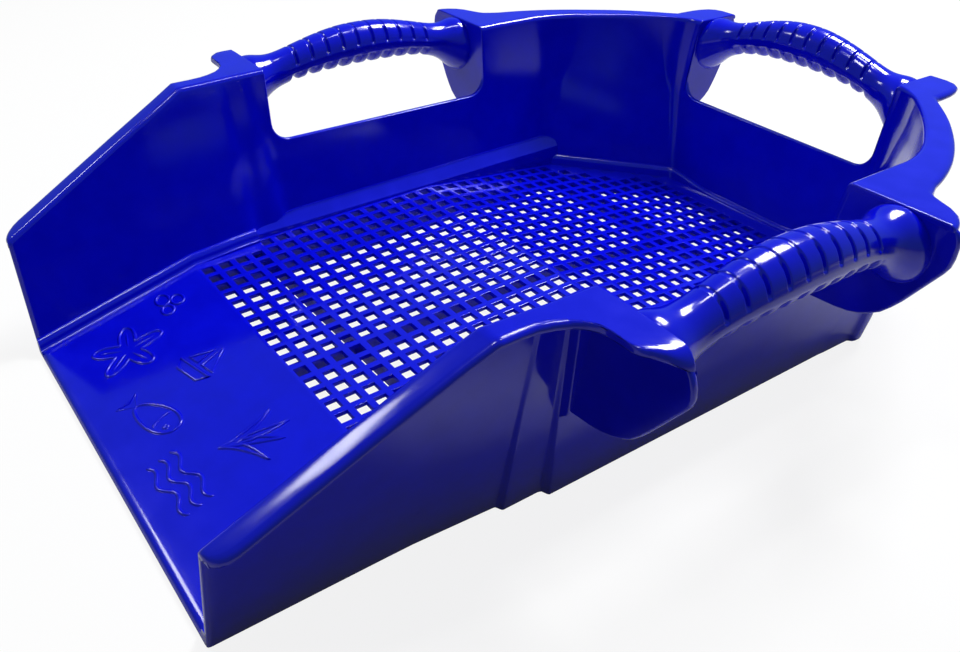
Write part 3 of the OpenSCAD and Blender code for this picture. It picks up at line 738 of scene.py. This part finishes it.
strip_run = [("fold", a, STRIP_HIGH) for a in (0.55, 0.75, 1.0)]
strip_run += [("corner", a, STRIP_HIGH) for a in (0.25, 0.5, 0.75, 1.0)]
strip_run += [("back_fold", a, STRIP_HIGH - STRIP_FALL * a) for a in (0.33, 0.66, 1.0)]
strip_run += [("rear", (x, x), strip_high(x)) for x in (54, 50, 44, 38, 32, 26, 20, 10, 0)]
strip_rings = []
for kind, a, high in strip_run:
    foot = floor_z(wall_plan(kind, a, STRIP_AT_Z)[0][1])
    share = high / STRIP_HIGH
    profile = [(3.0, 0.03), (2.9, 1.2 * share), (2.8, high - 2.4 * share), (2.55, high - 1.5 * share),
               (2.1, high - 0.75 * share), (1.5, high - 0.25 * share), (0.7, high),
               (-INTO_WALL, high + 0.1), (-INTO_WALL, -BELOW_FLOOR), (3.0, -BELOW_FLOOR)]
    ring = []
    for inward, up in profile:
        q, out = wall_plan(kind, a, foot + up)
        ring.append((*(q - out * inward), foot + up))
    strip_rings.append(ring)
strip_rings += [[(-x, y, z) for x, y, z in ring] for ring in strip_rings[-2::-1]]
strip_points, strip_faces = loft(strip_rings)
make_piece("foot_strip", strip_points, strip_faces, smooth_below=50)

# Rear feet: at each rear corner the foot of the side wall runs straight on past the fold, with one more
# small step, and fades upward into the fold. It is moulded with the walls.
FOOT_PLAN = [(113.55, 324.5), (113.95, 331), (114.1, 345), (114.2, 350.6), (114.9, 351.8), (116.2, 353.0),
             (116.7, 354.6), (116.8, 357.6), (116.2, 360.0), (114.6, 361.6), (112.0, 362.3), (103.0, 362.8)]
FOOT_STRAIGHT, FOOT_HIGH, FOOT_LEAST = 14.0, 74.0, 0.03
FOOT_END_Y, FOOT_LEAN = 355, 0.05
foot_rings = []
for z, inset in [(0.0, 0.4), (0.5, 0.0), (7, 0.0)] + [(z, 0.0) for z in range(14, 75, 5)]:
    full = max(1 - soft_step((z - FOOT_STRAIGHT) / (FOOT_HIGH - FOOT_STRAIGHT)), FOOT_LEAST)
    core = [wall_plan("long", (y, y, y), z) for y in (324, 326, 328)]
    core += [wall_plan("fold", a, z) for a in (0.25, 0.5, 0.75)]
    core += [wall_plan("corner", a, z) for a in np.linspace(0, 0.42, 10)]
    core = [p + out * WALL / 2 for p, out in core]
    ring = []
    for x, y in FOOT_PLAN:
        spot = np.array([x - inset + SIDE_LEAN * z, y - inset * (y > FOOT_END_Y) + FOOT_LEAN * z])
        near = min(core, key=lambda p: np.linalg.norm(p - spot))
        ring.append((*(near + (spot - near) * full), z))
    foot_rings.append(ring + [(*core[k], z) for k in (-1, -5, 4, 0)])
foot_points, foot_faces = loft(foot_rings)
for hand in ("right", "left"):
    make_piece(hand + "_rear_foot", foot_points, foot_faces, smooth_below=50, mirror=hand == "left")

# Ears: upright plates that stand out from the wall at both ends of each window, under the rim's tabs. They
# carry the ends of the grips, and their free edge is a soft round. A gusset stiffens the front ones. All
# are moulded with the walls.
EAR_THICK, EAR_SINK, REAR_EAR = 3.0, 0.08, 0.66
ROUND_CORNER = [(35.0, 111.2), (39.5, 110.6), (43.0, 109.0), (46.2, 106.2), (48.6, 102.8), (50.0, 99.0),
                (50.5, 95.6), (49.9, 92.4), (48.2, 89.6)]
FULL_CORNER = [(43.0, 111.2), (46.2, 111.0), (48.7, 109.5), (50.1, 107.2), (50.6, 104.3), (50.6, 99.0),
               (50.0, 95.0), (48.4, 91.6)]
EAR_BELOW = [(36.5, 73.0), (33.0, 68.4), (29.4, 64.4), (25.0, 61.4), (20.6, 59.2), (15.6, 57.6), (9.0, 56.6),
             (3.2, 56.0)]
# The edge's round: place across the plate's thickness, and distance inside the outline
EAR_EDGE = [(0.0, 1.1), (-0.25, 0.45), (-0.9, 0.05), (0.9 - EAR_THICK, 0.0), (0.25 - EAR_THICK, 0.4),
            (-EAR_THICK, 1.1)]


def ear_mesh(lean, corner):
    """An ear in its own frame: u outward from the wall's inner top edge, v = 0 at the window's edge."""
    outline = [(0.6, 110.9)] + corner + EAR_BELOW
    outline = [(u, z) if u > 5 else (-lean * (RIM_Z - z) + 1.2, z) for u, z in outline]
    n = len(outline)
    centre = np.mean(outline, 0)
    rings = []
    for v, inset in EAR_EDGE:
        ring = []
        for i, p in enumerate(outline):
            along = np.array(outline[(i + 1) % n]) - np.array(outline[i - 1])
            normal = np.array([along[1], -along[0]]) / np.linalg.norm(along)
            if normal @ (np.array(p) - centre) < 0:
                normal = -normal
            q = np.array(p) - normal * inset if i not in (0, n - 1) else np.array(p)
            ring.append((q[0], v - EAR_SINK, q[1]))
        rings.append(ring)
    return loft(rings)


def set_ear(name, lean, put, corner=FULL_CORNER):
    points, faces = ear_mesh(lean, corner)
    make_piece(name + "_plate", [put(*p) for p in points], faces, [name], smooth_below=55)


TOP_X, TOP_Y = side_x(RIM_Z), rear_y(RIM_Z)
GUSSET_SILL_Y, GUSSET_BACK_Y = 136.2, 140.0
gusset_rings = []
for z in (50.5, 51, 52, 53.5, 56, 64, 74, 86, 98, 109.5):
    y = GUSSET_SILL_Y - SECOND_SLANT * (z - SIDE_SILL)
    x = long_wall_x(y, z, STEP_WIDE) + WALL
    proud = x + 0.8 + 3.6 * soft_step((z - 50) / 5)
    gusset_rings.append([(x - 1, y, z), (proud - 0.7, y, z), (proud - 0.2, y + 0.2, z), (proud, y + 0.7, z),
                         (proud, GUSSET_BACK_Y, z), (x - 1, GUSSET_BACK_Y, z)])
gusset_points, gusset_faces = loft(gusset_rings)
for hand, sign in (("right", 1), ("left", -1)):
    set_ear(hand + "_front_ear", SIDE_LEAN,
            lambda u, v, z: (sign * (TOP_X + u), WINDOW_Y0 + v, z), ROUND_CORNER)
    set_ear(hand + "_rear_ear", SIDE_LEAN, lambda u, v, z: (sign * (TOP_X + u), WINDOW_Y1 - v, z))
    set_ear("rear_" + hand + "_ear", REAR_LEAN,
            lambda u, v, z: (sign * (REAR_HALF_WINDOW - v), TOP_Y + u * (REAR_EAR if u > 0 else 1), z))
    make_piece(hand + "_gusset", gusset_points, gusset_faces, smooth_below=55, mirror=hand == "left")

# Grips: three arched bars to lift the tray by, moulded with it. Each is oval and thickest in the middle,
# swells like a bone into its ears, and has finger slots above and scallops below a smooth band along the
# parting line.
GRIP_LONG, GRIP_SHORT, GRIP_TILT, GRIP_SIDES = 23.0, 21.4, math.radians(48), 72
GRIP_SLIM, MIDDLE_SWELL, END_SWELL = 0.85, 0.2, 0.58
SLOTS, SLOT_PITCH, SLOT_DEEP, SCALLOP_DEEP = 10, 9.6, 1.9, 2.5
SLOT_FLAT, SLOT_SLOPE, SCALLOP_SLOPE = 0.5, 0.85, 2.9
SLOT_STEPS = (0.45, 0.65, 0.85, 1.05, 1.25, 1.5, 1.9, 2.4, 2.9, 3.4)
END_STEPS = (0, 0.6, 1.3, 2.1, 3, 4, 5, 6, 7.2, 8.5, 10, 12, 14, 16.5, 19, 22)
BAND_DEG, INNER_BAND_DEG, BAND_HALF_DEG, SEAM_HIGH = 0.0, -9.0, 13.0, 0.3
GRIP_LAP = 0.5


def grip_mesh(length, out, high, arch):
    """A grip in its own frame: outward from the wall's inner top edge, along the window, and height."""
    slots = [length / 2 + (i - (SLOTS - 1) / 2) * SLOT_PITCH for i in range(SLOTS)]
    offsets = [0.0, SLOT_PITCH / 2] + [sign * step for step in SLOT_STEPS for sign in (1, -1)]
    runs = {round(c + o, 2) for c in slots for o in offsets}
    runs |= {round(e, 2) for d in END_STEPS for e in (d, length - d)}
    rings = []
    for d in sorted(runs):
        end = min(d, length - d)
        swell = GRIP_SLIM + MIDDLE_SWELL * soft_step((end - 20) / 46) + END_SWELL * math.exp(-(end / 11) ** 2)
        notch = max(1 - soft_step((abs(d - c) - SLOT_FLAT) / SLOT_SLOPE) for c in slots)
        scallop = max(1 - soft_step((abs(d - c) - SLOT_FLAT) / SCALLOP_SLOPE) for c in slots)
        lift = high - arch * (2 * d / length - 1) ** 2
        ring = []
        for i in range(GRIP_SIDES):
            a = 2 * math.pi * i / GRIP_SIDES
            u, v = swell * GRIP_LONG / 2 * math.cos(a), swell * GRIP_SHORT / 2 * math.sin(a)
            nu, nv = math.cos(a) / GRIP_LONG, math.sin(a) / GRIP_SHORT
            nx = nu * math.cos(GRIP_TILT) + nv * math.sin(GRIP_TILT)
            nz = nv * math.cos(GRIP_TILT) - nu * math.sin(GRIP_TILT)
            lean = math.degrees(math.atan2(nz, abs(nx))) - (BAND_DEG if nx > 0 else INNER_BAND_DEG)
            if lean > 0:
                over_top = 1 - 0.72 * soft_step((lean - 50) / 18)
                cut = SLOT_DEEP * notch * soft_step((lean - BAND_HALF_DEG) / 7) * over_top
            else:
                cut = SCALLOP_DEEP * scallop * soft_step((-lean - BAND_HALF_DEG) / 9)
            seam = SEAM_HIGH * (1 - soft_step((abs(lean) - 9) / 5)) * soft_step((end - 14) / 10)
            r = math.hypot(u, v)
            u, v = u * (r - cut + seam) / r, v * (r - cut + seam) / r
            ring.append((out + u * math.cos(GRIP_TILT) + v * math.sin(GRIP_TILT), d,
                         lift - u * math.sin(GRIP_TILT) + v * math.cos(GRIP_TILT)))
        rings.append(ring)
    return loft(rings)


side_points, side_faces = grip_mesh(WINDOW_Y1 - WINDOW_Y0 + 2 * GRIP_LAP, 26.5, 107.8, 12.6)
for hand, sign in (("right", 1), ("left", -1)):
    make_piece(hand + "_grip_bar",
               [(sign * (TOP_X + u), WINDOW_Y0 - GRIP_LAP + v, z) for u, v, z in side_points],
               side_faces, [hand + "_grip"], smooth_below=60)
back_points, back_faces = grip_mesh(2 * REAR_HALF_WINDOW + 2 * GRIP_LAP, 16.0, 112.0, 16.5)
make_piece("rear_grip_bar",
           [(REAR_HALF_WINDOW + GRIP_LAP - v, TOP_Y + u, z) for u, v, z in back_points],
           back_faces, ["rear_grip"], smooth_below=60)

# Studio: a plain white floor, a softbox high at the rear, two small lamps overhead, a smaller softbox at
# the front left and a dim room for fill.
SEEN_WHITE, MIRRORED_WHITE = 0.87, 0.1
FLOOR_HALF_M, FLOOR_AT_Z = 6, -0.0004
pale_floor = bpy.data.materials.new("pale_floor")
pale_floor.use_nodes = True
floor_tree = pale_floor.node_tree
floor_tree.nodes.clear()
floor_path = add_node(floor_tree, "ShaderNodeLightPath")
floor_seen = add_node(floor_tree, "ShaderNodeMath",
                      [(0, floor_path, "Is Camera Ray"), (1, floor_path, "Is Transmission Ray")],
                      operation="MAXIMUM")
floor_mirrored = add_node(floor_tree, "ShaderNodeMath", [(0, floor_path, "Is Glossy Ray")],
                          operation="MULTIPLY")
floor_mirrored.inputs[1].default_value = MIRRORED_WHITE
floor_share = add_node(floor_tree, "ShaderNodeMath", [(0, floor_seen, 0), (2, floor_mirrored, 0)],
                       operation="MULTIPLY_ADD")
floor_share.inputs[1].default_value = SEEN_WHITE
floor_tone = add_node(floor_tree, "ShaderNodeMath", [(0, floor_seen, 0)], operation="MULTIPLY_ADD")
floor_tone.inputs[1].default_value, floor_tone.inputs[2].default_value = 0.3, 0.6
floor_matt = add_node(floor_tree, "ShaderNodeBsdfDiffuse", [("Color", floor_tone, 0)])
floor_white = add_node(floor_tree, "ShaderNodeEmission", Color=linear("#FFFFFF"), Strength=1.0)
floor_mix = add_node(floor_tree, "ShaderNodeMixShader",
                     [(0, floor_share, 0), (1, floor_matt, 0), (2, floor_white, 0)])
add_node(floor_tree, "ShaderNodeOutputMaterial", [("Surface", floor_mix, 0)])
floor_mesh = bpy.data.meshes.new("floor")
floor_mesh.from_pydata([(x * FLOOR_HALF_M, y * FLOOR_HALF_M, FLOOR_AT_Z)
                        for x, y in ((-1, -1), (1, -1), (1, 1), (-1, 1))], [], [(0, 1, 2, 3)])
floor_mesh.materials.append(pale_floor)
floor = bpy.data.objects.new("floor", floor_mesh)
bpy.context.scene.collection.objects.link(floor)

for name, size, watts, place, target in (
        ("rear_softbox", (0.45, 0.4), 21.5, (-0.2, 0.78, 1.15), (0.0, 0.0, 0.05)),
        ("front_overhead_lamp", (0.1, 0.3), 2.8, (-0.05, -0.4, 1.3), (-0.05, 0.0, 0.05)),
        ("rear_overhead_lamp", (0.1, 0.2), 1.6, (-0.05, 0.33, 1.3), (-0.05, 0.0, 0.05)),
        ("front_left_softbox", (0.36, 0.26), 4.8, (-1.2, -0.92, 1.3), (0.1, -0.2, 0.08))):
    lamp_data = bpy.data.lights.new(name, "AREA")
    lamp_data.shape = "RECTANGLE"
    lamp_data.size, lamp_data.size_y = size
    lamp_data.energy = watts
    lamp = bpy.data.objects.new(name, lamp_data)
    bpy.context.scene.collection.objects.link(lamp)
    lamp.location = place
    lamp.rotation_euler = (Vector(target) - Vector(place)).to_track_quat("-Z", "Y").to_euler()

room = bpy.data.worlds.new("pale_room")
bpy.context.scene.world = room
room.use_nodes = True
room_light = room.node_tree.nodes["Background"]
room_light.inputs["Color"].default_value = linear("#B3DDFF")
room_path = add_node(room.node_tree, "ShaderNodeLightPath")
room_level = add_node(room.node_tree, "ShaderNodeMath", [(0, room_path, "Is Glossy Ray")],
                      operation="MULTIPLY_ADD")
room_level.inputs[1].default_value, room_level.inputs[2].default_value = 0.3, 0.03
room.node_tree.links.new(room_level.outputs[0], room_light.inputs["Strength"])
bpy.context.scene.view_settings.view_transform = "Standard"

# Camera: the photograph's own viewpoint, from the front right and above. Its place and lens come from the
# square lattice of the holes, and its framing is a small shift.
camera_data = bpy.data.cameras.new("camera")
camera_data.sensor_width = 36.0
camera_data.lens = 34.51
camera_data.shift_x = 0.0222
camera_data.shift_y = -0.0164
camera_data.clip_start = 0.01
camera = bpy.data.objects.new("camera", camera_data)
bpy.context.scene.collection.objects.link(camera)
camera.location = (0.31394, -0.28147, 0.27252)
camera.rotation_euler = Euler([math.radians(a) for a in (56.897, -1.655, 54.431)], "XYZ")
bpy.context.scene.camera = camera
